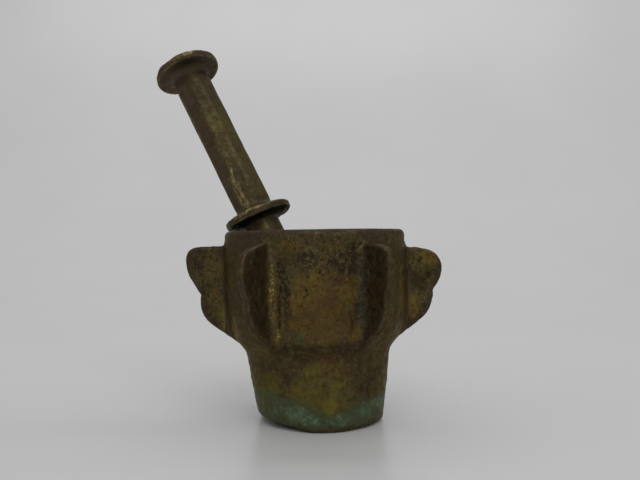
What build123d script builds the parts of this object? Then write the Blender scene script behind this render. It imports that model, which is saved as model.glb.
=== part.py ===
"""A cast bronze mortar with six lobed ribs, and the double-ended pestle that leans in its bowl.

Millimetres, +Z up. The origin is the centre of the mortar's flat foot, which stands on the XY plane.
Seen from -Y, one rib stands out along +X and one along -X, and two more come towards the viewer.
The mortar is one casting and the pestle is another, so there are two nodes.
"""

import os
from math import acos, atan2, cos, degrees, hypot, radians, sin, sqrt, tan

from build123d import *

# ---------------------------------------------------------------- mortar: driving dimensions
LEAN = 1.7  # degrees that the cast body leans towards -X over its level foot
RIM_TILT = 0.9  # degrees that the rim is out of level, the same way
RIM_HEIGHT, RIM_RADIUS, RIM_WALL = 93.65, 44.6, 6.3
LIP_ROUND_OUTER, LIP_ROUND_INNER = 2.4, 1.6
FOOT_RADIUS, FOOT_ROUND = 31.0, 1.8
WAIST_RADIUS, WAIST_HEIGHT = 35.5, 35.0  # top of the foot's plain cone
LEDGE_RADIUS, LEDGE_HEIGHT = 38.4, 38.9  # where the heavier upper body begins
SHOULDER_RADIUS, SHOULDER_HEIGHT = 42.6, 48.5
CHEST_RADIUS, CHEST_HEIGHT = 44.1, 64.0
SHOULDER_TANGENTS = ((0.8, 1), (0.02, 1))  # how the shoulder's curve leaves the ledge and reaches the chest
CUT_MARGIN = 2.0  # the leaning outline runs this far past the foot and the rim, which are cut flat
BOWL_FLOOR, BOWL_RADIUS = 11.0, 31.0  # metal under the bowl, and the ball its round bottom is part of

# ---------------------------------------------------------------- ribs: driving dimensions
# For each rib its azimuth, then radius and height along its edge: from the body out over the upper
# lobe to the notch, and from the notch down round the lower lobe.
RIBS = (
    (
        0.0,
        ((49.0, 84.0), (55.5, 82.9), (59.6, 80.9), (63.1, 75.0), (61.9, 68.0), (58.0, 62.6)),
        ((58.0, 62.6), (57.3, 56.1), (51.7, 48.2)),
    ),
    (
        60.0,
        ((50.0, 87.0), (57.0, 86.0), (61.2, 83.6), (63.6, 76.5), (62.2, 68.5), (58.8, 63.0)),
        ((58.8, 63.0), (57.8, 55.6), (52.5, 48.0)),
    ),
    (
        120.0,
        ((49.0, 86.4), (56.5, 85.6), (61.0, 83.0), (63.8, 75.8), (62.4, 68.0), (59.6, 63.4)),
        ((59.6, 63.4), (58.2, 55.4), (52.8, 47.6)),
    ),
    (
        180.0,
        ((54.4, 87.2), (59.0, 86.9), (62.8, 85.4), (64.7, 79.9), (62.8, 71.8), (57.3, 63.4)),
        ((57.3, 63.4), (57.2, 54.8), (51.4, 47.4)),
    ),
    (
        240.0,
        ((48.0, 88.2), (54.7, 86.5), (61.0, 83.9), (64.3, 75.8), (63.4, 69.0), (60.4, 63.9)),
        ((60.4, 63.9), (59.6, 56.6), (53.4, 47.6)),
    ),
    (
        301.5,
        ((52.0, 86.2), (58.4, 85.4), (62.0, 83.4), (63.2, 76.0), (62.4, 68.6), (60.2, 63.0)),
        ((60.2, 63.0), (58.9, 55.2), (52.6, 46.6)),
    ),
)
RIB_INSIDE = 33.5  # the ribs start inside the wall
RIB_HALF_ROOT, RIB_HALF_TIP = 2.2, 1.4  # half thickness at the body and at the tip
RIB_FOOT_RADIUS, RIB_FOOT_HEIGHT = 36.4, 36.8  # where every rib runs out into the body
LOBE_TANGENTS = ((0.2, -1), (-0.85, -0.65))  # how the lower lobe leaves the notch and runs out
ROOT_FILLET, ROOT_FILLET_RIM = 3.8, 1.4  # the hollow at a rib's root, up to the chest and at the rim
ROOT_SINK = 0.5  # how far the hollow's end sinks into the body

# ---------------------------------------------------------------- pestle: driving dimensions
PESTLE_AT = (-28.2, 12.2, RIM_HEIGHT)  # where its axis crosses the height of the rim
PESTLE_LEAN, PESTLE_AZIMUTH = 29.6, 154.4  # degrees from vertical, and the way it leans
GRIP_RADIUS_LOW, GRIP_RADIUS_TOP = 9.65, 9.5
SHANK_RADIUS_TOP, SHANK_RADIUS_LOW = 9.2, 9.8
COLLAR_AT, COLLAR_RADIUS, COLLAR_EDGE, COLLAR_FLARE = 6.3, 17.1, 4.2, 3.2
COLLAR_UNDER = 1.0  # how far the underside drops from the collar's edge to the shank
COLLAR_HOLLOW = 0.46  # how far along its slope the flare's concave top sags
COLLAR_ROUND = 1.2
COLLAR_TILT = (4.2, -3.0)  # degrees out of square, across the view and along it
KNOB_AT, KNOB_RADIUS, KNOB_EDGE, KNOB_DOME = 96.6, 17.1, 5.2, 1.6
KNOB_ROUND = 2.0
KNOB_TILT = (2.2, 3.5)
SPIGOT = 2.0  # how far inside the shaft the knob's and collar's profiles stop
HEAD_RADIUS, HEAD_NECK = 14.5, 50.0  # the crushing head's ball, and degrees above its equator it ends
NECK_LENGTH = 9.0
CLEARANCE = 0.3  # between the resting head and the bowl


def turning_plane(origin, axis, seam=Vector(0, 1, 0)):
    """The plane a body is turned from: local x is the radius and local y runs along the axis."""
    across = seam.cross(axis).normalized()
    return Plane(origin=origin, x_dir=across, z_dir=across.cross(axis))


def tilted(axis, across_deg, along_deg):
    """The axis turned out of square by two small angles."""
    across = Vector(0, 1, 0).cross(axis).normalized()
    along = axis.cross(across)
    return (axis + across * tan(radians(across_deg)) + along * tan(radians(along_deg))).normalized()


# ---------------------------------------------------------------- the mortar
body_axis = Vector(-sin(radians(LEAN)), 0, cos(radians(LEAN)))
body_plane = turning_plane((0, 0, 0), body_axis)
rim_plane = Plane(
    origin=body_axis * RIM_HEIGHT, z_dir=(-sin(radians(RIM_TILT)), 0, cos(radians(RIM_TILT)))
)
body_frame = Plane(origin=(0, 0, 0), x_dir=body_plane.x_dir, z_dir=body_axis)
foot_slope = (WAIST_RADIUS - FOOT_RADIUS) / WAIST_HEIGHT
bowl_mouth = RIM_RADIUS - RIM_WALL
bowl_centre = BOWL_FLOOR + BOWL_RADIUS
# The bowl's wall is the cone from the mouth that touches the ball of its round bottom.
mouth_reach = hypot(bowl_mouth, RIM_HEIGHT - bowl_centre)
mouth_tangent = sqrt(mouth_reach**2 - BOWL_RADIUS**2)
wall_angle = degrees(atan2(mouth_tangent, BOWL_RADIUS) - acos(bowl_mouth / mouth_reach))

rib_levels = (
    (WAIST_HEIGHT, WAIST_RADIUS, ROOT_FILLET),
    (LEDGE_HEIGHT, LEDGE_RADIUS, ROOT_FILLET),
    (SHOULDER_HEIGHT, SHOULDER_RADIUS, ROOT_FILLET),
    (CHEST_HEIGHT, CHEST_RADIUS, ROOT_FILLET),
    (RIM_HEIGHT, RIM_RADIUS, ROOT_FILLET_RIM),
)
ribs = []
for azimuth, upper_lobe, lower_lobe in RIBS:
    top = upper_lobe[0][1]
    past_tip = max(radius for radius, height in upper_lobe) + 1
    with BuildPart() as rib:
        # In plan a rib is a thin wedge whose root spreads out in a hollow to the body at every height.
        for height, radius, hollow in rib_levels:
            beside = RIB_HALF_ROOT + hollow
            centre = Vector(sqrt((radius + hollow - ROOT_SINK) ** 2 - beside**2), beside)
            to_body = -centre.normalized()
            on_body = centre + to_body * hollow
            on_arc = centre + (to_body + Vector(0, -1)).normalized() * hollow
            on_side = centre + Vector(0, -hollow)
            with BuildSketch(Plane.XY.offset(height)):
                with BuildLine():
                    arc = ThreePointArc(on_body, on_arc, on_side)
                    side = Line(on_side, (past_tip, RIB_HALF_TIP))
                    end = Line(side @ 1, (past_tip, 0))
                    middle = Line(end @ 1, (RIB_INSIDE, 0))
                    inside = Line(middle @ 1, (RIB_INSIDE, on_body.Y))
                    Line(inside @ 1, on_body)
                make_face()
        loft(ruled=True)
        mirror(about=Plane.XZ)
        with BuildSketch(Plane.XZ):
            with BuildLine():
                Line((RIB_INSIDE, top), upper_lobe[0])
                Spline(*upper_lobe)
                Spline(*lower_lobe, tangents=LOBE_TANGENTS)
                Polyline(
                    lower_lobe[-1],
                    (RIB_FOOT_RADIUS, RIB_FOOT_HEIGHT),
                    (RIB_INSIDE, RIB_FOOT_HEIGHT),
                    (RIB_INSIDE, top),
                )
            make_face()
        extrude(amount=RIM_RADIUS, both=True, mode=Mode.INTERSECT)
    ribs.append(body_frame.location * Location((0, 0, 0), (0, 0, azimuth)) * rib.part)

with BuildPart() as mortar:
    with BuildSketch(body_plane):
        with BuildLine():
            Polyline(
                (0, RIM_HEIGHT + CUT_MARGIN),
                (0, -CUT_MARGIN),
                (FOOT_RADIUS - foot_slope * CUT_MARGIN, -CUT_MARGIN),
                (WAIST_RADIUS, WAIST_HEIGHT),
                (LEDGE_RADIUS, LEDGE_HEIGHT),
            )
            Spline(
                (LEDGE_RADIUS, LEDGE_HEIGHT),
                (SHOULDER_RADIUS, SHOULDER_HEIGHT),
                (CHEST_RADIUS, CHEST_HEIGHT),
                tangents=SHOULDER_TANGENTS,
            )
            Polyline(
                (CHEST_RADIUS, CHEST_HEIGHT),
                (RIM_RADIUS, RIM_HEIGHT + CUT_MARGIN),
                (0, RIM_HEIGHT + CUT_MARGIN),
            )
        make_face()
    revolve(axis=Axis((0, 0, 0), body_axis))
    split(bisect_by=Plane.XY, keep=Keep.TOP)
    split(bisect_by=rim_plane, keep=Keep.BOTTOM)
    fillet(mortar.edges().sort_by(Axis.Z)[0], radius=FOOT_ROUND)
    fillet(mortar.edges().sort_by(Axis.Z)[-1], radius=LIP_ROUND_OUTER)
    for rib_solid in ribs:
        add(rib_solid)
    with BuildSketch(body_plane):
        with BuildLine():
            bottom = JernArc((0, BOWL_FLOOR), (1, 0), BOWL_RADIUS, 90 - wall_angle)
            Polyline(
                bottom @ 1,
                (bowl_mouth + CUT_MARGIN * tan(radians(wall_angle)), RIM_HEIGHT + CUT_MARGIN),
                (0, RIM_HEIGHT + CUT_MARGIN),
                (0, BOWL_FLOOR),
            )
        make_face()
    revolve(axis=Axis((0, 0, 0), body_axis), mode=Mode.SUBTRACT)
    fillet(mortar.edges(Select.LAST).sort_by(Axis.Z)[-1], radius=LIP_ROUND_INNER)

# ---------------------------------------------------------------- the pestle
lean_out = sin(radians(PESTLE_LEAN))
pestle_axis = Vector(
    lean_out * cos(radians(PESTLE_AZIMUTH)),
    lean_out * sin(radians(PESTLE_AZIMUTH)),
    cos(radians(PESTLE_LEAN)),
)
rim_point = Vector(*PESTLE_AT)
# The head's ball comes down the axis until it is the clearance short of the bowl's ball.
from_bowl = rim_point - body_axis * bowl_centre
along = from_bowl.dot(pestle_axis)
apart = BOWL_RADIUS - HEAD_RADIUS - CLEARANCE
head_at = -along - sqrt(along**2 - from_bowl.length**2 + apart**2)
neck_radius = HEAD_RADIUS * cos(radians(HEAD_NECK))
neck_at = head_at + HEAD_RADIUS * sin(radians(HEAD_NECK))
collar_axis = tilted(pestle_axis, *COLLAR_TILT)
knob_axis = tilted(pestle_axis, *KNOB_TILT)
collar_point = rim_point + pestle_axis * COLLAR_AT
knob_point = rim_point + pestle_axis * KNOB_AT

with BuildPart() as pestle:
    with BuildSketch(turning_plane(rim_point, pestle_axis)):
        with BuildLine():
            ball = CenterArc((0, head_at), HEAD_RADIUS, -90, 90 + HEAD_NECK)
            Polyline(
                ball @ 1,
                (SHANK_RADIUS_LOW, neck_at + NECK_LENGTH),
                (SHANK_RADIUS_TOP, COLLAR_AT + COLLAR_EDGE),
                (GRIP_RADIUS_LOW, COLLAR_AT + COLLAR_EDGE + SPIGOT),
                (GRIP_RADIUS_TOP, KNOB_AT + KNOB_EDGE / 2),
                (0, KNOB_AT + KNOB_EDGE / 2),
                ball @ 0,
            )
        make_face()
    revolve(axis=Axis(rim_point, pestle_axis))
    with BuildSketch(turning_plane(collar_point, collar_axis, seam=Vector(1, 0, 0))) as collar_profile:
        with BuildLine():
            flare_end = GRIP_RADIUS_LOW - SPIGOT
            Polyline(
                (flare_end, COLLAR_EDGE + COLLAR_FLARE),
                (0, COLLAR_EDGE + COLLAR_FLARE),
                (0, -COLLAR_UNDER),
                (SHANK_RADIUS_TOP - SPIGOT, -COLLAR_UNDER),
                (COLLAR_RADIUS, 0),
                (COLLAR_RADIUS, COLLAR_EDGE),
            )
            ThreePointArc(
                (COLLAR_RADIUS, COLLAR_EDGE),
                (
                    flare_end + COLLAR_HOLLOW * (COLLAR_RADIUS - flare_end),
                    COLLAR_EDGE + COLLAR_HOLLOW * COLLAR_FLARE,
                ),
                (flare_end, COLLAR_EDGE + COLLAR_FLARE),
            )
        make_face()
        fillet(collar_profile.vertices().sort_by(Axis.X)[-2:], radius=COLLAR_ROUND)
    revolve(axis=Axis(collar_point, collar_axis))
    with BuildSketch(turning_plane(knob_point, knob_axis, seam=Vector(1, 0, 0))) as knob_profile:
        with BuildLine():
            Polyline((0, KNOB_EDGE + KNOB_DOME), (0, 0), (KNOB_RADIUS, 0), (KNOB_RADIUS, KNOB_EDGE))
            TangentArc((0, KNOB_EDGE + KNOB_DOME), (KNOB_RADIUS, KNOB_EDGE), tangent=(1, 0))
        make_face()
        fillet(knob_profile.vertices().sort_by(Axis.X)[-2:], radius=KNOB_ROUND)
    revolve(axis=Axis(knob_point, knob_axis))

os.makedirs("parts", exist_ok=True)
mortar.part.label = "mortar"
pestle.part.label = "pestle"
export_step(mortar.part, "parts/mortar.step")
export_step(pestle.part, "parts/pestle.step")
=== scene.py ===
"""Looks for a small cast bronze mortar with lobed ribs and the pestle that leans in it.

The scene is in metres in the CAD frame, +Z up. The mesh work and its sizes are in millimetres.

Each shown surface starts as its CAD node's shape and is remeshed finely. It is then weathered in mesh code:
cast fillets in the hollows, hand-made unevenness, flats, pits, a lifted foot edge. The stains, and some
painted highlights and painted shade, are painted on the mesh as soft masks, and the materials break them up
with fine noise.
"""

import math

import bpy
import numpy as np
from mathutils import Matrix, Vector


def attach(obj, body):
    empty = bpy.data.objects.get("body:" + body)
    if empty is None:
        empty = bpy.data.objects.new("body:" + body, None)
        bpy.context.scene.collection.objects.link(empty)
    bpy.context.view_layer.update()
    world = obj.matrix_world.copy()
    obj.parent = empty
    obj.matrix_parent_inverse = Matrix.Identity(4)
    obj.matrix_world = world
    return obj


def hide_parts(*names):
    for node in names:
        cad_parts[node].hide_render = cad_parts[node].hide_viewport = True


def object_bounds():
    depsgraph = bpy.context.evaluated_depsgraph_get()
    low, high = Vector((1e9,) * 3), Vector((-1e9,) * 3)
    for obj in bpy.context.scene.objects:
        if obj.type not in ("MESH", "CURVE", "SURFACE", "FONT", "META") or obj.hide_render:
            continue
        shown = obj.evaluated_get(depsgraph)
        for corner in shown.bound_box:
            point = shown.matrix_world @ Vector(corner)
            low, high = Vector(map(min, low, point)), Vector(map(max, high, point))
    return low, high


MM = 0.001

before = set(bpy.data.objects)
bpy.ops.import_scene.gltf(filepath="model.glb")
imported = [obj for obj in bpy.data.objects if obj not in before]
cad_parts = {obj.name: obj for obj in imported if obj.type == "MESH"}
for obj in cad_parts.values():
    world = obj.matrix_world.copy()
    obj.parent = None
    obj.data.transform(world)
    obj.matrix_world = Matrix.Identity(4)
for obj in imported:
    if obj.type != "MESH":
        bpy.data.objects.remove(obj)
start_lo, start_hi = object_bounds()


# ---------------------------------------------------------------- noise in mesh code
HASH_X, HASH_Y, HASH_Z = 374761393, 668265263, 2147483647
HASH_MIX = 1274126177
HASH_WORD, HASH_RANGE = 0xFFFFFFFF, 0xFFFFFF
OCTAVE_SHIFT, OCTAVE_FADE = 17.3, 0.55


def lattice(cell, seed):
    """A repeatable pseudo-random number from 0 to 1 for each integer cell."""
    x, y, z = (cell[:, i].astype(np.int64) for i in range(3))
    h = x * HASH_X + y * HASH_Y + z * HASH_Z + seed * HASH_MIX
    h = (h ^ (h >> 13)) & HASH_WORD
    h = (h * HASH_MIX) & HASH_WORD
    h = h ^ (h >> 16)
    return (h & HASH_RANGE) / float(HASH_RANGE)


def value_noise(p, seed):
    """Smooth noise from 0 to 1 at the points p, one cell per unit."""
    base = np.floor(p)
    f = p - base
    f = f * f * (3 - 2 * f)
    out = np.zeros(len(p))
    for corner in range(8):
        step = np.array([corner & 1, (corner >> 1) & 1, (corner >> 2) & 1])
        weight = np.prod(np.where(step, f, 1 - f), axis=1)
        out += weight * lattice(base + step, seed)
    return out


def fractal(p, size, seed, octaves=3, stretch=(1, 1, 1)):
    """Layered noise from 0 to 1 whose largest features are about size across, in the units of p."""
    total, norm, amp = np.zeros(len(p)), 0.0, 1.0
    q = p / size / np.array(stretch, float)
    for i in range(octaves):
        total += amp * value_noise(q * 2**i + OCTAVE_SHIFT * i, seed + i)
        norm += amp
        amp *= OCTAVE_FADE
    return total / norm


def pits(p, cell, radius, share, seed):
    """Round dimples, 1 at their centres: at most one in each cell, in the given share of the cells."""
    base = np.floor(p / cell)
    depth = np.zeros(len(p))
    for i in range(27):  # a point's own cell and all that touch it
        step = np.array([i % 3, i // 3 % 3, i // 9]) - 1
        there = base + step
        centre = np.stack([lattice(there, seed + k) for k in range(3)], axis=1)
        reach = np.linalg.norm(p / cell - there - centre, axis=1) * cell
        size = radius * (0.5 + 0.5 * lattice(there, seed + 4))
        present = lattice(there, seed + 3) < share
        depth = np.maximum(depth, np.clip(1 - (reach / size) ** 2, 0, 1) * present)
    return depth


def ramp(x, lo, hi):
    """0 at lo and before it, 1 at hi and past it, smooth between; hi may be the smaller."""
    t = np.clip((x - lo) / (hi - lo), 0, 1)
    return t * t * (3 - 2 * t)


def bump(x, centre, width):
    """A smooth hump, 1 at its centre."""
    return np.exp(-(((x - centre) / width) ** 2))


def strongest(*masks):
    """The greatest of several masks at each point."""
    return np.maximum.reduce(masks)


# ---------------------------------------------------------------- mesh tools
class Skin:
    """A fine closed mesh made from a CAD node, worked on as numpy arrays in millimetres."""

    BOX_LO, BOX_HI = np.array(start_lo) / MM, np.array(start_hi) / MM
    HOLLOW = 0.004  # a vertex this far below its neighbours lies in a hollow
    NORMALS_EVERY = 5  # rounds of softening between fresh normals

    def __init__(self, node, name, voxel):
        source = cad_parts[node]
        shell = bpy.data.objects.new(name, source.data.copy())
        bpy.context.scene.collection.objects.link(shell)
        shell.data.materials.clear()
        remesh = shell.modifiers.new("fine", "REMESH")
        remesh.mode = "VOXEL"
        remesh.voxel_size = voxel * MM
        remesh.use_smooth_shade = True
        graph = bpy.context.evaluated_depsgraph_get()
        fine = bpy.data.meshes.new_from_object(shell.evaluated_get(graph))
        shell.modifiers.clear()
        shell.data = fine
        self.obj, self.mesh, self.node = shell, fine, node
        n = len(fine.vertices)
        co = np.zeros(n * 3)
        fine.vertices.foreach_get("co", co)
        self.co = co.reshape(-1, 3) / MM
        edges = np.zeros(len(fine.edges) * 2, np.int32)
        fine.edges.foreach_get("vertices", edges)
        self.edges = edges.reshape(-1, 2)
        self.degree = np.bincount(self.edges.ravel(), minlength=n).astype(float)
        self.write()

    def write(self):
        """Puts the moved points into the mesh and reads its new normals."""
        self.mesh.vertices.foreach_set("co", (self.co * MM).ravel())
        self.mesh.update()
        n = np.zeros(len(self.co) * 3)
        self.mesh.vertices.foreach_get("normal", n)
        self.normal = n.reshape(-1, 3)

    def mean(self, values):
        """Each vertex's neighbours' mean, of a scalar or of a vector."""
        a, b = self.edges.T
        flat = values.reshape(len(values), -1)
        out = np.empty_like(flat)
        for i in range(flat.shape[1]):
            col = flat[:, i]
            out[:, i] = np.bincount(a, col[b], len(col)) + np.bincount(b, col[a], len(col))
        return (out / self.degree[:, None]).reshape(values.shape)

    def bend(self, spread):
        """How convex the surface is, in 1/mm, averaged spread times: above 0 on edges, below 0 in hollows."""
        d = -np.sum((self.mean(self.co) - self.co) * self.normal, axis=1)
        reach = np.sum((self.co[self.edges[:, 0]] - self.co[self.edges[:, 1]]) ** 2, axis=1)
        # On a mesh of squares, 4 times the offset over the edge's square is the sum of both curvatures.
        d = d * 4 / reach.mean()
        for _ in range(spread):
            d = self.mean(d)
        return d

    def soften(self, rounds, concave, convex, where=1.0):
        """Fills the hollows as a casting's fillets do, and takes the sharpness off the edges."""
        for i in range(rounds):
            if i % self.NORMALS_EVERY == 0:
                self.write()
            delta = self.mean(self.co) - self.co
            inward = np.sum(delta * self.normal, axis=1)
            rate = np.where(inward > self.HOLLOW, concave, convex) * where
            self.co += delta * rate[:, None]
        self.write()

    def carve(self, depth):
        """Moves the surface into the metal by depth, or out where it is negative, inside the CAD box."""
        self.co = np.clip(self.co - self.normal * depth[:, None], self.BOX_LO, self.BOX_HI)
        self.write()

    def store(self, masks):
        """Keeps each mask on the mesh under its name, for the material to read."""
        for name, values in masks.items():
            attribute = self.mesh.attributes.new(name, "FLOAT", "POINT")
            attribute.data.foreach_set("value", np.clip(values, 0, 1).astype(np.float32))


# ---------------------------------------------------------------- the mortar's shape
MORTAR_VOXEL = 0.74
LEAN = math.radians(1.7)
body_axis = np.array([-math.sin(LEAN), 0, math.cos(LEAN)])
LEDGE = 38.6  # where the ribbed body steps out over the foot
RIM_LEVEL = 92.4
LIP_POINT = np.array([-28.2, 12.2, 93.65])  # where the pestle's axis crosses the rim's height
BALL_CENTRE, BALL_RADIUS = 42.0, 31  # the bowl's round bottom
CONE_FOOT, CONE_RADIUS, CONE_FLARE = BALL_CENTRE - 4, 30.7, 0.141  # the bowl's wall above it
BOWL_SPARE = 1.5  # how far into the metal the bowl's own zone goes
BOWL_LOW = 10  # all of the bowl is higher than this
RIB_FOOT = 45  # only ribs and their fillets are farther from the axis than this
RIDGE_LEFT_X, RIDGE_RIGHT_X = -17.2, 13.2  # casting ridges on the front panel
ROOT_LEFT_X = -21.4  # the root of the front panel's left rib


def around_body(p):
    """Height along the leaning axis, distance from it, and degrees round from the front, more towards +X."""
    height = p @ body_axis
    out = p - height[:, None] * body_axis
    turn = (np.degrees(np.arctan2(out[:, 1], out[:, 0])) + 90 + 180) % 360 - 180
    return height, np.linalg.norm(out, axis=1), turn


mortar = Skin("mortar", "mortar_skin", MORTAR_VOXEL)
height, radius, front = around_body(mortar.co)
bowl = np.where(
    height > CONE_FOOT,
    CONE_RADIUS + (height - CONE_FOOT) * CONE_FLARE,
    np.sqrt(np.clip(BALL_RADIUS**2 - (height - BALL_CENTRE) ** 2, 0, None)),
)
inside = (radius < bowl + BOWL_SPARE) & (height > BOWL_LOW)
outside = (~inside & (height < RIM_LEVEL)).astype(float)
mortar.soften(46, concave=0.55, convex=0.02, where=outside)
# The two ribs at the sides have the widest fillets at their roots.
side_roots = outside * ramp(np.abs(mortar.co[:, 1]), 17, 11) * ramp(np.abs(radius - RIB_FOOT), 7, 3)
mortar.soften(110, concave=0.6, convex=0.0, where=side_roots * (height > LEDGE))
mortar.soften(3, concave=0.5, convex=0.5)

# The foot was cast or worn unevenly: its edge is lifted at the front left, and a little on the right.
height, radius, front = around_body(mortar.co)
lifted = 3.6 * ramp(front, -118, -78) * ramp(front, -4, -36) + 1.3 * ramp(front, 16, 40) * ramp(front, 96, 66)
lifted += 1.2 * bump(front, 150, 40)
mortar.co[:, 2] += lifted * ramp(radius, 24.0, 31.5) * np.clip(1 - height / 10, 0, 1)
mortar.write()

# All over it is wavy and grainy, with scars and pocks, and a rough seam runs along the ledge.
p = mortar.co
height, radius, front = around_body(p)
on_body = outside * (radius < 47)
between = ramp(np.abs(front), 27, 21)  # between the front panel's two ribs
wave = fractal(p, 24, seed=3)
grain = fractal(p, 5, seed=11)
fine_grain = fractal(p, 1.9, seed=23, octaves=2)
scars = pits(p, cell=7.5, radius=1.7, share=0.30, seed=61)
pocks = pits(p, cell=3.4, radius=0.95, share=0.35, seed=71)
seam_height = LEDGE + 1.0 + 7.0 * (fractal(p, 7, seed=41) - 0.5)
seam = bump(height, seam_height, 0.9) * ramp(fractal(p, 6, seed=47, octaves=2), 0.28, 0.55)
above_seam = bump(height, seam_height + 2.3, 1.4)
relief = 0.70 * (wave - 0.5) + 0.44 * (grain - 0.5) + 0.38 * (fine_grain - 0.5) - 0.12
depth = relief + 0.45 * scars + 0.32 * pocks * ramp(wave, 0.42, 0.6)
depth += on_body * (seam * (0.15 + 0.18 * between) - above_seam * 0.35 * between)
# Two casting ridges run down the front panel, and its left rib's root is lumpy where metal ran over.
ridge_left = bump(p[:, 0], RIDGE_LEFT_X, 0.9) * ramp(height, 66, 58)
ridge_right = bump(p[:, 0], RIDGE_RIGHT_X, 0.8) * ramp(height, 55, 49)
root_left = bump(p[:, 0], ROOT_LEFT_X, 1.8) * ramp(height, 44, 52) * ramp(height, 90, 80)
facing = on_body * (p[:, 1] < -25) * ramp(height, 38, 41)
depth -= facing * 0.45 * (ridge_left + ridge_right)
depth -= facing * root_left * 2.0 * (fractal(p, 2.0, seed=83, octaves=2) - 0.42)
# The flanks of the ribs keep long soft marks of the tool that shaped their pattern.
tooled = fractal(p, 9, seed=91, octaves=2, stretch=(1, 1, 2.4))
depth += outside * (radius > RIB_FOOT) * 0.4 * (tooled - 0.5)
# The foot's left side is drawn in a little towards the floor, and its right side stands out.
foot_side = ramp(height, 40, 8) * outside
depth += foot_side * (0.7 * bump(front, -88, 42) - 0.35 * bump(front, 90, 45))
# The bowl and the rim stay smoother. The rim is a little higher, except near the pestle.
from_pestle = np.linalg.norm(p - LIP_POINT, axis=1)
lip_top = ~(outside > 0) & (height > RIM_LEVEL - 1)
calm = np.where(lip_top, -0.28 * ramp(from_pestle, 18, 26), 0.0) + 0.25 * wave + 0.10 * grain
mortar.carve(np.where(outside > 0, depth, calm))
mortar.soften(1, concave=0.3, convex=0.3)

# ---------------------------------------------------------------- the mortar's stains, painted highlight and painted shade
BLOT_END, BLOT_FULL = 1.55, 0.35  # where a blot ends and where it is full, in shares of its half size

p = mortar.co
height, radius, front = around_body(p)
warp_x = 3.2 * (fractal(p, 4.5, seed=101) - 0.5)
warp_z = 4.5 * (fractal(p, 5.5, seed=111) - 0.5)
face_x, face_z = p[:, 0] + warp_x, height + warp_z
cloud = fractal(p, 17, seed=131, octaves=4)
on_front = (p[:, 1] < -20) * outside
elsewhere = on_front == 0
foot = ramp(height, LEDGE + 1, LEDGE - 2) * outside
panel_middle = (front + 180 + 30) % 60 - 30  # degrees from the middle of the nearest panel between two ribs
on_panel = ramp(np.abs(panel_middle), 27, 19) * on_body
rib = outside * (radius > RIB_FOOT + 0.6)
lug = rib * ramp(np.abs(p[:, 1]), 9, 7)  # the two ribs at the sides
other_rib = rib * (1 - lug)
rib_rim = ramp(mortar.bend(9), 0.02, 0.12)


def blots(where, *places):
    """The strongest of some uneven blots, each its x, z, half width and half height."""
    mask = np.zeros(len(p))
    for x, z, half_width, half_height in places:
        away = np.hypot((face_x - x) / half_width, (face_z - z) / half_height)
        mask = np.maximum(mask, ramp(away, BLOT_END, BLOT_FULL))
    return mask * where


# Bare ochre metal shows on the panels and in patches of the side ribs.
bare = strongest(
    0.7 * elsewhere * on_panel * ramp(height, 41, 47) * ramp(height, 89, 80) * ramp(cloud, 0.40, 0.62),
    blots(on_front, (-9, 65, 5.5, 10), (-1, 72, 5, 3.5), (13, 66.5, 4.4, 7.5)),
    blots(on_front, (-10, 52, 5, 3), (16, 47, 3, 5)),
    0.66 * blots(on_front, (2, 61, 14, 13), (1, 50, 16, 9), (-14, 85, 9, 4), (6, 84, 8, 4)),
    0.5 * blots(on_front, (2, 78, 12, 9), (-19, 60, 4, 20), (4, 31, 12, 6)),
    blots(lug, (45, 56, 4, 8)) + 0.7 * blots(lug, (-52, 76, 7, 9), (-52, 62, 4, 6), (53, 78, 7, 6)),
)

# Dark crusts break up the panels and the side ribs, and a dark strip of painted shade runs beside the front's
# right rib, at its root.
scattered = ramp(fractal(p, 8, seed=151), 0.58, 0.72) * on_body * ramp(height, 34, 44)
speckled = 0.46 * lug * (1 - rib_rim) * ramp(height, 54, 62)
oxide = strongest(
    scattered * np.where(elsewhere, 0.8, 0.25),
    blots(on_front, (-5, 81, 4.2, 2.6), (1, 73.5, 1.8, 2), (6, 79, 3, 2.4), (13, 77, 5.4, 4.4)),
    blots(on_front, (16.5, 85, 4, 2.6), (17.3, 57, 1.2, 4.4), (-15.5, 68, 3.2, 5.5)),
    blots(on_front, (-15, 60, 2.2, 3.6), (-20, 78, 1.6, 2), (-6, 66, 1, 1.3)),
    0.62 * blots(on_front, (-17.5, 75, 4, 7), (9, 83, 10, 3)),
    0.42 * blots(on_front, (0, 80, 22, 8), (10, 70, 8, 4)),
    speckled * np.where(p[:, 0] < 0, 1.0, 0.85),
)
root_painted_shade = bump(face_x, 19.0, 1.9) * ramp(height, 48, 56) * ramp(height, 84, 76) * on_front

# Yellow lies across the foot and in flecks on the ribs.
foot_yellow = foot * ramp(height, 32, 22) * ramp(height, 4, 11) * ramp(fractal(p, 20, seed=171), 0.34, 0.56)
foot_yellow = foot_yellow * np.where(elsewhere, ramp(np.abs(front - 75), 24, 40), ramp(front, 36, 14))
yellow = strongest(
    foot_yellow * 0.75,
    blots(on_front, (4.5, 13, 5, 6)),
    0.68 * blots(on_front, (-6, 20, 15, 6), (9, 18, 6, 5), (-23, 24, 6, 4), (-4, 28, 4, 5)),
    0.45 * blots(on_front, (-20, 46, 3, 7), (-30, 36, 8, 4)),
    lug * 0.55 * (1 - rib_rim) * ramp(fractal(p, 5, seed=175, octaves=4), 0.42, 0.60),
    other_rib * elsewhere * 0.5 * ramp(fractal(p, 7, seed=177, octaves=4), 0.46, 0.62),
    blots(lug, (-46.5, 52, 3, 8)),
)

# Plum brown lies beside the ribs, except on the front panel, and over much of the ribs.
plum = strongest(
    on_body * ramp(height, 40, 46) * ramp(np.abs(panel_middle + 8), 4, 16) * ramp(np.abs(front), 24, 34),
    blots(on_front, (-31, 86, 11, 8), (27, 84, 6, 6)),
    rib * np.maximum(0.8 * ramp(cloud, 0.56, 0.44), 0.9 * lug * rib_rim),
)

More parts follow.
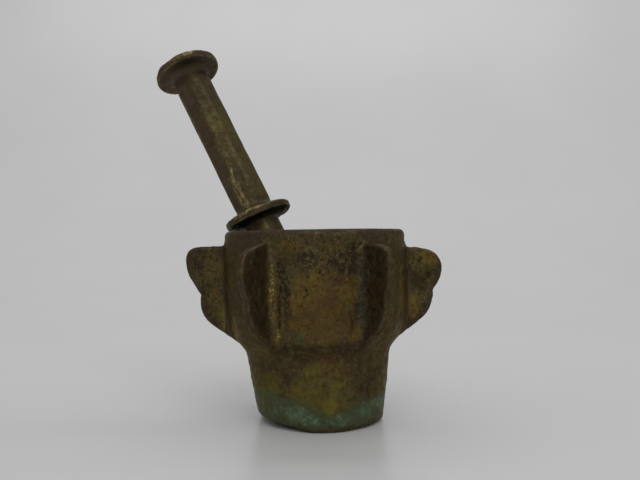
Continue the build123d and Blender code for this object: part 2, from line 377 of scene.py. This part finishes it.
# The bottom of the foot is green, with patches of mint, and the green is thinner near the floor.
green_top = 15 + 6 * (fractal(p, 13, seed=181) - 0.5) + 4.5 * bump(front, -60, 48) - 7.5 * bump(front, 12, 12)
foot_green = foot * ramp(height, green_top + 4, green_top - 6)
foot_green = foot_green * (0.6 + 0.4 * ramp(fractal(p, 9, seed=191), 0.36, 0.60))
green = strongest(
    foot_green * (1 - 0.6 * ramp(height, 3.4, 1.0)),
    0.42 * blots(on_front, (-9, 45, 3, 4)),
)
patchy = ramp(fractal(p, 8, seed=201), 0.46, 0.62)
mint = strongest(
    0.8 * elsewhere * foot * ramp(height, 15, 10) * ramp(height, 1.0, 6.0) * patchy,
    blots(on_front, (-10, 9.5, 6, 3.6), (-4, 6.5, 5, 3)),
    0.6 * blots(on_front, (-18, 10, 6, 4), (8, 6, 9, 2.5), (23.5, 9, 6, 4)),
)

# Umber lies in blots, on the foot's right and on the ribs; its band along the ledge and its darkening of the
# front's sides are painted shade.
# Rust lies on the foot's top and the ribs, and olive on the front's right.
umber_and_shade = strongest(
    # Painted shade: a dark band along the recess of the front's ledge.
    0.4 * on_front * bump(height, LEDGE + 1.4, 1.4) * between,
    0.5 * foot * ramp(front, 20, 40) * ramp(height, 12, 20) * ramp(cloud, 0.28, 0.55),
    0.36 * blots(on_front, (-4, 36, 12, 3), (12, 35, 8, 4), (22, 26, 5, 9), (-19.5, 62, 2.2, 16)),
    0.55 * blots(on_front, (-15, 25, 2.6, 3.4), (3, 23, 1.6, 1.6)),
    # Painted shade: the front darkens towards its sides.
    0.5 * on_front * on_body * np.maximum(ramp(front, -44, -62), ramp(front, 44, 60)),
    rib * 0.25 * ramp(np.abs(front), 62, 50) * (height > 40),
    blots(lug, (48.5, 67.5, 4.5, 4), (54, 71, 2, 2)),
)
streaky = ramp(fractal(p, 9, seed=231, stretch=(1, 1, 1.8)), 0.50, 0.64)
rusty = strongest(
    0.8 * foot * ramp(height, 22, 30) * ramp(fractal(p, 4, seed=221, octaves=4), 0.48, 0.60),
    other_rib * 0.8 * streaky,
)
rust = strongest(
    rusty * (1 - 0.9 * rib * rib_rim),
    0.8 * blots(on_front, (-9, 53, 5, 2.5), (31, 56, 3, 9), (3, 60, 4, 4)),
    0.7 * blots(on_front, (-15, 82, 6, 4), (6, 66, 2, 4), (14, 50, 4, 4)),
    0.45 * blots(on_front, (1, 55, 11, 7)),
)
olive = strongest(
    0.9 * on_body * ramp(front, 44, 62) * on_front,
    0.6 * blots(on_front, (6, 49, 8, 4)),
    0.8 * blots(on_front, (-13, 73, 6, 5), (-22.5, 84, 2.6, 8), (12, 87, 6, 4), (5, 83, 9, 2)),
)

# The lumpy root of the front's left rib is bright: rubbed brass, and a painted highlight where its fillet
# faces the light.
spark_place = bump(p[:, 0], ROOT_LEFT_X + 0.8 * (grain - 0.5), 1.15)
spark_height = 0.5 * ramp(height, 49, 57) * ramp(height, 83, 75) + 0.9 * bump(height, 68, 6)
spark = strongest(
    facing * spark_place * spark_height * ramp(fractal(p, 2.6, seed=87, octaves=2), 0.25, 0.45),
    facing * bump(p[:, 0], -18.5, 0.8) * ramp(np.abs(height - 46.5), 4, 2),
)

edge = mortar.bend(1)
mortar.store(
    {
        "edge": strongest(0.6 * ramp(edge, 0.40, 1.1), other_rib * ramp(edge, 0.40, 0.80)),
        "hollow": ramp(-mortar.bend(12), 0.03, 0.17),
        "bare": bare,
        "oxide": oxide,
        "root_painted_shade": root_painted_shade,
        "plum": plum,
        "yellow": yellow,
        "green": green,
        "mint": mint,
        "umber_and_shade": umber_and_shade,
        "rust": rust,
        "olive": olive,
        "spark": spark,
        "clean": strongest(
            0.65 * foot,
            0.65 * other_rib,
            0.35 * on_front * on_body * ramp(np.abs(height - 56), 18, 8) * (1 - oxide),
        ),
        "lip": ramp(height, RIM_LEVEL - 1.2, RIM_LEVEL + 0.4) * ~inside,
        "bowl": inside * ramp(height, 92, 84),
    }
)

# ---------------------------------------------------------------- the pestle's shape
PESTLE_VOXEL = 0.55
PESTLE_LEAN, PESTLE_AZIMUTH = math.radians(29.6), math.radians(154.4)
pestle_axis = np.array(
    [
        math.sin(PESTLE_LEAN) * math.cos(PESTLE_AZIMUTH),
        math.sin(PESTLE_LEAN) * math.sin(PESTLE_AZIMUTH),
        math.cos(PESTLE_LEAN),
    ]
)
to_front = np.cross(pestle_axis, np.cross((0, -1, 0), pestle_axis))
to_front /= np.linalg.norm(to_front)
to_side = np.cross(to_front, pestle_axis)
COLLAR, COLLAR_THICK = 6.3, 4.2  # how far up from the rim the collar's edge starts, and its thickness
KNOB = 96.6  # how far up from the rim the knob starts
COLLAR_MIDDLE = COLLAR + COLLAR_THICK / 2
SHAFT_REACH = 12  # the shaft's radius is less than this, and the discs' and the head's are more
FLATS = 8  # hammered round the shaft


def around_pestle(q):
    """Distance up the pestle from the rim, distance from its axis, degrees round from its front."""
    d = q - LIP_POINT
    along = d @ pestle_axis
    x, y = d @ to_front, d @ to_side
    return along, np.hypot(x, y), np.degrees(np.arctan2(y, x))


pestle = Skin("pestle", "pestle_skin", PESTLE_VOXEL)
pestle.soften(14, concave=0.5, convex=0.04)
along, reach, turn = around_pestle(pestle.co)
pestle.soften(50, concave=0.5, convex=0.0, where=bump(along, KNOB, 3.0) * ramp(reach, 15.5, 13.5))
pestle.soften(2, concave=0.5, convex=0.5)

# The shaft was hammered into soft flats, and the discs are worn in places. Both are first made a little
# thicker, so that this and the pits leave them at about their CAD size.
q = pestle.co
along, reach, turn = around_pestle(q)
shaft = ramp(along, COLLAR + 6, COLLAR + 11) * ramp(along, KNOB - 2, KNOB - 8) * (reach < SHAFT_REACH)
discs = ramp(reach, SHAFT_REACH, 15)
near_front = np.where(along > KNOB / 2, 1.0, ramp(q @ to_front - LIP_POINT @ to_front, -6, 2))
sideways = ramp(np.abs(pestle.normal @ pestle_axis), 0.85, 0.45)
winding = turn + 0.12 * along + 14 * (fractal(q, 30, seed=301, octaves=2) - 0.5)
flats = 0.5 + 0.5 * np.cos(np.radians(FLATS * winding))
wave = fractal(q, 15, seed=5)
grain = fractal(q, 4, seed=9, octaves=2)
fine_grain = fractal(q, 1.6, seed=29, octaves=2)
scars = pits(q, cell=6, radius=1.3, share=0.3, seed=321)
pocks = pits(q, cell=3, radius=0.8, share=0.25, seed=331)
relief = 0.34 * wave + 0.14 * grain + 0.08 * fine_grain
depth = relief - 0.62 * np.maximum(shaft, discs * near_front * sideways)
depth += shaft * 0.46 * flats * ramp(fractal(q, 22, seed=311, octaves=2), 0.22, 0.5)
depth += 0.26 * scars + 0.20 * pocks
depth += discs * 0.45 * ramp(fractal(q, 8, seed=341, octaves=2), 0.5, 0.75)
pestle.carve(depth)

# The collar's edge is thicker at the front, where its underside was left rough.
along, reach, turn = around_pestle(pestle.co)
collar_front = ramp(reach, 12.5, 15.0) * bump(along, COLLAR_MIDDLE, 5.5) * ramp(np.abs(turn), 56, 26)
rough = 0.55 + 0.5 * fractal(pestle.co, 3, seed=351, octaves=2)
thicker = collar_front * (ramp(pestle.normal @ pestle_axis, 0.5, -0.4) * rough)
pestle.co -= thicker[:, None] * pestle_axis
pestle.write()

# ---------------------------------------------------------------- the pestle's stains, painted highlights and painted shade
q = pestle.co
along, reach, turn = around_pestle(q)
local = np.stack([(q - LIP_POINT) @ to_side, (q - LIP_POINT) @ to_front, along], axis=1)
streak = fractal(local, 6, seed=345, stretch=(1, 1, 4))
mottled = ramp(fractal(local, 9, seed=391, stretch=(1, 1, 2)), 0.46, 0.62)
at_collar = bump(along, COLLAR_MIDDLE, 5.5)
at_knob = ramp(along, KNOB - 6, KNOB - 3)
# Painted shade: the collar's downward faces are painted dark.
underside = ramp(-(pestle.normal @ pestle_axis), 0.2, 0.6)
# Rubbed brass streaks the lower shaft's front, and a faint painted highlight runs down the shaft's front.
wear_and_sheen = ramp(np.abs(turn - 10 + 36 * (streak - 0.5)), 19, 4) * ramp(along, 9, 15) * ramp(along, 46, 24)
wear_and_sheen = np.maximum(0.9 * wear_and_sheen, 0.15 * shaft * bump(turn, 12, 24))
# The collar's front edge is rubbed brass. The knob's front top edge is rubbed brass, partly a painted
# highlight, and painted glints sit on both.
collar_edge = discs * at_collar * ramp(along, COLLAR + 1, COLLAR + 3)
collar_edge = collar_edge * ramp(turn, -26, -8) * ramp(turn, 52, 26)
knob_edge = discs * at_knob * ramp(along, KNOB + 2.4, KNOB + 4.0) * ramp(turn, -38, -18) * ramp(turn, 24, 4)
knob_glint = 0.7 * discs * at_knob * ramp(along, KNOB + 2.6, KNOB + 4.2) * bump(turn, -24, 4.5)
browned = np.maximum(ramp(streak, 0.50, 0.36), ramp(along, 54, 84))
pestle.store(
    {
        "edge": ramp(pestle.bend(1), 0.45, 1.1),
        "hollow": ramp(-pestle.bend(8), 0.03, 0.17),
        "collar_painted_shade": underside * (reach > 9.0) * ramp(reach, 16.4, 14.8) * at_collar,
        "bare": strongest(wear_and_sheen, collar_edge, 0.8 * knob_edge),
        "oxide": strongest(browned * (1 - 0.7 * wear_and_sheen), discs * ramp(turn, -4, -36)),
        "yellow": shaft * strongest(ramp(turn, 14, -12), 0.7 * mottled),
        "rose": strongest(
            at_knob * ramp(turn, -20, 40),
            0.9 * shaft * ramp(along, 6, 40) * ramp(turn, 6, 26),
        ),
        "green": discs * at_collar * ramp(fractal(q, 6, seed=411), 0.56, 0.70) * 0.6,
        "glint": strongest(collar_edge * bump(turn, 0, 14), knob_glint),
    }
)


# ---------------------------------------------------------------- materials
class Nodes:
    """A short way to wire shader nodes."""

    MIX_A, MIX_B, MIX_RESULT = 6, 7, 2  # a mix node's colour sockets

    def __init__(self, name):
        self.material = bpy.data.materials.new(name)
        self.material.use_nodes = True
        self.tree = self.material.node_tree
        self.tree.nodes.clear()
        self.output = self.tree.nodes.new("ShaderNodeOutputMaterial")
        self.shader = self.tree.nodes.new("ShaderNodeBsdfPrincipled")
        self.tree.links.new(self.shader.outputs[0], self.output.inputs[0])
        self.place = self.tree.nodes.new("ShaderNodeTexCoord").outputs["Object"]

    def link(self, out, socket):
        """Feeds a socket from a node's output, a number or a colour."""
        if isinstance(out, (int, float)):
            socket.default_value = out
        elif isinstance(out, tuple):
            socket.default_value = (*out, 1.0) if len(socket.default_value) == 4 else out
        else:
            self.tree.links.new(out, socket)

    def attribute(self, name):
        """A mask stored on the mesh."""
        node = self.tree.nodes.new("ShaderNodeAttribute")
        node.attribute_name = name
        return node.outputs["Fac"]

    def grained(self, axis, stretch):
        """Coordinates in which a noise comes out drawn along an axis."""
        node = self.tree.nodes.new("ShaderNodeMapping")
        node.vector_type = "TEXTURE"
        node.inputs["Rotation"].default_value = Vector(axis).to_track_quat("Z", "Y").to_euler()
        node.inputs["Scale"].default_value = (1, 1, stretch)
        self.link(self.place, node.inputs["Vector"])
        return node.outputs[0]

    def noise(self, size_mm, detail=3.0, rough=0.55, vector=None):
        """Noise with its largest features about size_mm across."""
        node = self.tree.nodes.new("ShaderNodeTexNoise")
        self.link(vector or self.place, node.inputs["Vector"])
        node.inputs["Scale"].default_value = 1000.0 / size_mm
        node.inputs["Detail"].default_value = detail
        node.inputs["Roughness"].default_value = rough
        return node.outputs["Fac"]

    def math(self, op, a, b=0.0):
        """The result of the maths operation op on two values."""
        node = self.tree.nodes.new("ShaderNodeMath")
        node.operation = op
        self.link(a, node.inputs[0])
        self.link(b, node.inputs[1])
        return node.outputs[0]

    def times(self, a, b):
        """The product of two values."""
        return self.math("MULTIPLY", a, b)

    def span(self, value, lo, hi, to_lo=0.0, to_hi=1.0):
        """A value's range from lo to hi, laid smoothly on the range from to_lo to to_hi."""
        node = self.tree.nodes.new("ShaderNodeMapRange")
        node.interpolation_type = "SMOOTHSTEP"
        self.link(value, node.inputs["Value"])
        for key, v in zip(("From Min", "From Max", "To Min", "To Max"), (lo, hi, to_lo, to_hi)):
            node.inputs[key].default_value = v
        return node.outputs[0]

    def broken(self, mask, noise, amount, soft):
        """A mask's soft border turned into a ragged one by a noise, 0 where the mask is 0."""
        shifted = self.math("ADD", mask, self.times(self.math("SUBTRACT", noise, 0.5), amount))
        return self.times(self.span(shifted, 0.5 - soft, 0.5 + soft), self.span(mask, 0.02, 0.25))

    def clouded(self, mask, noise, lo, hi, least=0.0):
        """A mask thinned by a noise, from its least share where the noise is lo to all of it at hi."""
        return self.times(mask, self.span(noise, lo, hi, least, 1.0))

    def mix(self, share, a, b):
        """Colour a with colour b laid on it as strongly as share says."""
        node = self.tree.nodes.new("ShaderNodeMix")
        node.data_type = "RGBA"
        self.link(share, node.inputs["Factor"])
        self.link(a, node.inputs[self.MIX_A])
        self.link(b, node.inputs[self.MIX_B])
        return node.outputs[self.MIX_RESULT]


# The bronze's ground, and what lies on it everywhere.
TAN = (0.138, 0.108, 0.052)
OLIVE = (0.100, 0.083, 0.036)
BROWN = (0.084, 0.057, 0.024)
PLUM = (0.072, 0.051, 0.031)
UMBER = (0.056, 0.038, 0.018)
GREEN = (0.062, 0.082, 0.040)
# PALE is for convex edges: edge wear, partly a painted highlight.
PALE = (0.25, 0.20, 0.13)
FLECK = (0.235, 0.180, 0.084)
DUST = (0.074, 0.057, 0.034)
DIRT = (0.022, 0.014, 0.006)

# The mortar's own stains, with the colours of its painted highlight and painted shade.
OCHRE = (0.164, 0.103, 0.021)
OCHRE_LIGHT = (0.228, 0.158, 0.046)
OCHRE_DULL = (0.106, 0.077, 0.026)
YELLOW = (0.162, 0.136, 0.029)
YELLOW_LIGHT = (0.190, 0.162, 0.034)
YELLOW_DULL = (0.118, 0.086, 0.028)
RUST = (0.094, 0.052, 0.021)
OXIDE = (0.024, 0.015, 0.012)
OXIDE_LIGHT = (0.120, 0.096, 0.040)
# Painted shade for the strip at the root of the front's right rib.
ROOT_SHADE = (0.030, 0.028, 0.021)
ROOT_SHADE_LIGHT = (0.084, 0.078, 0.060)
MINT = (0.090, 0.146, 0.074)
MINT_LIGHT = (0.170, 0.255, 0.140)
# BRASS is for the root of the front's left rib: rubbed brass, partly a painted highlight.
BRASS = (0.56, 0.45, 0.08)
LIP_GREY = (0.064, 0.051, 0.044)
BOWL_BROWN = (0.050, 0.038, 0.022)

# The pestle's own stains, with its painted glints and the painted shade under the collar.
SHAFT_YELLOW = (0.098, 0.079, 0.033)
SHAFT_BROWN = (0.052, 0.038, 0.022)
ROSE = (0.096, 0.064, 0.044)
RUBBED = (0.132, 0.096, 0.046)
RUBBED_LIGHT = (0.36, 0.275, 0.132)
GLINT = (0.62, 0.52, 0.22)
COLLAR_SHADE = (0.018, 0.013, 0.010)


def bronze(name, axis, stains, relief_mm, mottle, glance):
    """Dark aged bronze, its speckle as strong as mottle says and its grazing shine tinted by glance.

    stains(n, colour) lays a piece's own stains, painted highlights and painted shade on the ground, and says
    how metallic and how clean it is left.
    """
    n = Nodes(name)
    edge, hollow = n.attribute("edge"), n.attribute("hollow")
    drawn = n.noise(8, 4, 0.6, n.grained(axis, 2.6))
    patchy, speckle = n.noise(4, 6, 0.7), n.noise(1.7, 6, 0.8)
    ground = n.mix(n.span(drawn, 0.42, 0.58), PLUM, OLIVE)
    ground = n.mix(n.span(patchy, 0.46, 0.58, 0, 0.8), ground, BROWN)
    ground = n.mix(n.span(speckle, 0.52, 0.60, 0, 0.75 * mottle), ground, TAN)
    ground = n.mix(n.span(n.noise(2.8, 6, 0.8), 0.51, 0.58, 0, 0.9 * mottle), ground, UMBER)
    colour, metal, clean = stains(n, ground)
    soiled = n.math("SUBTRACT", 1.0, clean)

    colour = n.mix(n.times(hollow, n.span(speckle, 0.40, 0.60, 0.1, 0.55)), colour, DUST)
    # Convex edges turn pale: edge wear, and partly a painted highlight.
    wear_and_sheen = n.times(n.clouded(edge, n.noise(4, 5, 0.7), 0.40, 0.58, 0.2), 0.42)
    colour = n.mix(wear_and_sheen, colour, PALE)
    dirt = n.span(n.noise(2.1, 7, 0.85), 0.53, 0.59, 0, 0.75 * mottle)
    dirt = n.times(n.clouded(dirt, n.noise(9, 4, 0.6), 0.38, 0.58, 0.35), soiled)
    colour = n.mix(dirt, colour, DIRT)
    flecks = n.span(n.noise(1.3, 4, 0.75), 0.55, 0.64, 0, 0.5 * mottle)
    flecks = n.times(n.clouded(flecks, n.noise(7, 4, 0.6), 0.42, 0.56, 0.2), soiled)
    colour = n.mix(flecks, colour, FLECK)
    n.link(colour, n.shader.inputs["Base Color"])

    dull = n.math("ADD", n.times(dirt, 0.25), n.times(hollow, 0.4))
    n.link(n.math("SUBTRACT", metal, dull), n.shader.inputs["Metallic"])
    n.shader.inputs["Specular IOR Level"].default_value = 0.2
    n.shader.inputs["Specular Tint"].default_value = (*glance, 1)
    rough = n.span(n.noise(3.5, 4, 0.6), 0.36, 0.64, 0.40, 0.62)
    n.link(n.math("SUBTRACT", rough, n.times(wear_and_sheen, 0.2)), n.shader.inputs["Roughness"])

    relief = n.math("ADD", n.times(n.noise(0.8, 4, 0.65), 0.45), n.times(n.noise(2.6, 4), 0.8))
    relief = n.math("SUBTRACT", relief, n.times(dirt, 0.35))
    bump_node = n.tree.nodes.new("ShaderNodeBump")
    bump_node.inputs["Strength"].default_value = 0.6
    bump_node.inputs["Distance"].default_value = relief_mm * MM
    n.link(relief, bump_node.inputs["Height"])
    n.link(bump_node.outputs[0], n.shader.inputs["Normal"])
    return n.material


def mortar_stains(n, colour):
    """Ochre panels, yellow, brown and rusty zones, dark crusts, the green foot, the bright rib root with its
    painted highlight, and painted shade by the ledge, the front's sides and the right rib's root.
    """
    fine, coarse, tiny = n.noise(2.4, 6, 0.8), n.noise(6, 6, 0.7), n.noise(1.0, 5, 0.8)
    flaky = n.noise(1.9, 5, 0.75)
    ragged = n.times(n.math("ADD", fine, tiny), 0.5)
    scratches = n.noise(1.2, 4, 0.7, n.grained(body_axis, 3.2))
    colour = n.mix(n.clouded(n.attribute("plum"), coarse, 0.34, 0.56, 0.3), colour, PLUM)

    bare = n.broken(n.attribute("bare"), ragged, 3.6, 0.40)
    ochre = n.mix(n.span(scratches, 0.45, 0.60, 0, 0.8), OCHRE, OCHRE_LIGHT)
    ochre = n.mix(n.span(coarse, 0.50, 0.60, 0, 0.7), ochre, OCHRE_DULL)
    ochre = n.mix(n.span(fine, 0.53, 0.60, 0, 0.6), ochre, UMBER)
    colour = n.mix(n.times(bare, 0.86), colour, ochre)

    yellowed = n.attribute("yellow")
    yellow = n.mix(n.span(coarse, 0.47, 0.58, 0, 0.75), YELLOW, YELLOW_DULL)
    yellow = n.mix(n.span(yellowed, 0.8, 1.0), yellow, YELLOW_LIGHT)
    colour = n.mix(n.times(n.broken(yellowed, fine, 3.4, 0.55), 0.88), colour, yellow)

    colour = n.mix(n.clouded(n.attribute("olive"), fine, 0.42, 0.58, 0.35), colour, OLIVE)
    colour = n.mix(n.clouded(n.attribute("rust"), ragged, 0.42, 0.56, 0.15), colour, RUST)
    # Umber, with painted shade along the front's ledge and towards the front's sides.
    colour = n.mix(n.broken(n.attribute("umber_and_shade"), fine, 4.0, 0.4), colour, UMBER)

    oxide = n.broken(n.attribute("oxide"), ragged, 3.8, 0.14)
    crusty = n.mix(n.span(flaky, 0.50, 0.58), OXIDE, OXIDE_LIGHT)
    colour = n.mix(n.times(oxide, 0.85), colour, crusty)
    # Painted shade in the strip at the root of the front's right rib, flecked lighter.
    root_shade = n.mix(n.span(flaky, 0.52, 0.60), ROOT_SHADE, ROOT_SHADE_LIGHT)
    colour = n.mix(n.times(n.broken(n.attribute("root_painted_shade"), ragged, 3.4, 0.25), 0.85), colour, root_shade)

    green = n.broken(n.attribute("green"), fine, 3.0, 0.40)
    mint = n.clouded(n.broken(n.attribute("mint"), coarse, 2.2, 0.45), fine, 0.42, 0.58, 0.5)
    colour = n.mix(n.clouded(green, fine, 0.40, 0.54, 0.45), colour, GREEN)
    colour = n.mix(n.times(mint, 0.9), colour, n.mix(n.span(ragged, 0.48, 0.60), MINT, MINT_LIGHT))

    # The root of the front's left rib: rubbed brass and a painted highlight.
    spark = n.attribute("spark")
    colour = n.mix(n.times(spark, 0.35), colour, OCHRE)
    colour = n.mix(n.times(spark, n.span(tiny, 0.51, 0.57)), colour, BRASS)
    colour = n.mix(n.times(n.attribute("lip"), 0.65), colour, LIP_GREY)
    colour = n.mix(n.times(n.attribute("bowl"), 0.6), colour, BOWL_BROWN)

    crust = n.math("MAXIMUM", n.math("MAXIMUM", green, mint), n.times(oxide, 0.6))
    metal = n.math("SUBTRACT", 0.92, n.times(crust, 0.65))
    return colour, metal, n.attribute("clean")


def pestle_stains(n, colour):
    """A browned shaft, yellow and rosy by zones, with rubbed streaks, painted highlights and glints, and
    painted shade under the collar.
    """
    fine, coarse = n.noise(2.0, 6, 0.8), n.noise(5.5, 5, 0.65)
    drawn = n.noise(1.5, 4, 0.7, n.grained(pestle_axis, 2.6))
    colour = n.mix(n.clouded(n.attribute("yellow"), fine, 0.40, 0.60, 0.2), colour, SHAFT_YELLOW)
    oxide = n.broken(n.attribute("oxide"), fine, 1.6, 0.45)
    colour = n.mix(n.times(oxide, 0.7), colour, SHAFT_BROWN)
    colour = n.mix(n.clouded(n.attribute("rose"), coarse, 0.38, 0.58, 0.3), colour, ROSE)
    # Rubbed brass, with a faint painted highlight down the shaft and a partly painted highlight on the knob's
    # edge.
    brassy = n.mix(n.span(drawn, 0.45, 0.62), RUBBED, RUBBED_LIGHT)
    colour = n.mix(n.times(n.broken(n.attribute("bare"), drawn, 2.4, 0.40), 0.8), colour, brassy)
    colour = n.mix(n.broken(n.attribute("green"), fine, 1.0, 0.3), colour, GREEN)
    # Painted glints on the collar's front edge and the knob's rim.
    colour = n.mix(n.clouded(n.attribute("glint"), drawn, 0.46, 0.56, 0.1), colour, GLINT)
    # Painted shade under the collar.
    colour = n.mix(n.times(n.attribute("collar_painted_shade"), 0.85), colour, COLLAR_SHADE)
    metal = n.math("SUBTRACT", 0.95, n.times(oxide, 0.25))
    return colour, metal, 0.0


MORTAR_GLANCE, PESTLE_GLANCE = (0.80, 0.74, 0.57), (0.84, 0.80, 0.68)

mortar_look = bronze(
    "mortar_bronze", body_axis, mortar_stains, relief_mm=0.50, mottle=1.0, glance=MORTAR_GLANCE
)
pestle_look = bronze(
    "pestle_bronze", pestle_axis, pestle_stains, relief_mm=0.26, mottle=0.45, glance=PESTLE_GLANCE
)
mortar.mesh.materials.append(mortar_look)
pestle.mesh.materials.append(pestle_look)
for skin, body, slot in ((mortar, "mortar", "mortar_bronze"), (pestle, "pestle", "pestle_bronze")):
    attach(skin.obj, body)
    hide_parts(skin.node)


# ---------------------------------------------------------------- floor, light and camera
PAPER, PAPER_LIGHT = (0.75, 0.75, 0.756), (0.77, 0.77, 0.776)
SWEEP_STEPS = 24


def sweep(width, front_y, back_y, rise, bend_radius):
    """A floor that curves up into a backdrop."""
    profile = [(front_y, 0.0), (back_y - bend_radius, 0.0)]
    for i in range(1, SWEEP_STEPS + 1):
        a = math.radians(90 * i / SWEEP_STEPS)
        profile.append((back_y - bend_radius + bend_radius * math.sin(a), bend_radius * (1 - math.cos(a))))
    profile.append((back_y, rise))
    verts = [(x, y, z) for x in (-width / 2, width / 2) for y, z in profile]
    k = len(profile)
    faces = [(i, i + 1, k + i + 1, k + i) for i in range(k - 1)]
    mesh = bpy.data.meshes.new("sweep")
    mesh.from_pydata(verts, [], [f[::-1] for f in faces])
    for polygon in mesh.polygons:
        polygon.use_smooth = True
    obj = bpy.data.objects.new("sweep", mesh)
    bpy.context.scene.collection.objects.link(obj)
    return obj


backdrop = sweep(width=6.0, front_y=-2.0, back_y=1.6, rise=2.6, bend_radius=0.9)
paper = Nodes("pale_paper")
paper.shader.inputs["Roughness"].default_value = 0.30
paper.shader.inputs["Specular IOR Level"].default_value = 0.5
paper_tone = paper.mix(paper.span(paper.noise(260, 2), 0.3, 0.7), PAPER, PAPER_LIGHT)
paper.link(paper_tone, paper.shader.inputs["Base Color"])
backdrop.data.materials.append(paper.material)


def lamp(name, at, aim, size, power):
    """A soft white rectangle of light that faces the point it is aimed at."""
    data = bpy.data.lights.new(name, "AREA")
    data.shape = "RECTANGLE"
    data.size, data.size_y = size
    data.energy = power
    obj = bpy.data.objects.new(name, data)
    bpy.context.scene.collection.objects.link(obj)
    obj.location = at
    obj.rotation_euler = (Vector(aim) - Vector(at)).to_track_quat("-Z", "Y").to_euler()


lamp("front_top", at=(0.25, -1.1, 1.3), aim=(0, 0.35, 0.12), size=(1.2, 0.9), power=6.0)
lamp("wall_wash", at=(0, 0.55, 1.7), aim=(0, 1.6, 0.5), size=(2.4, 0.5), power=7.0)

ROOM_WHITE, ROOM_LIGHT = (1.0, 1.0, 1.0, 1), 0.44
world = bpy.data.worlds.new("room")
world.use_nodes = True
world.node_tree.nodes["Background"].inputs["Color"].default_value = ROOM_WHITE
world.node_tree.nodes["Background"].inputs["Strength"].default_value = ROOM_LIGHT
bpy.context.scene.world = world

CAMERA_PLACE = (0, -0.370, 0.08885)  # level, just under the height of the mortar's rim
LENS, SENSOR = 41.6, 36
camera = bpy.data.objects.new("camera", bpy.data.cameras.new("camera"))
camera.data.sensor_width = SENSOR
camera.data.lens = LENS
camera.data.clip_start = 0.01
camera.location = CAMERA_PLACE
camera.rotation_euler = (math.radians(90), 0, 0)
bpy.context.scene.collection.objects.link(camera)
bpy.context.scene.camera = camera
bpy.context.scene.view_settings.view_transform = "Standard"
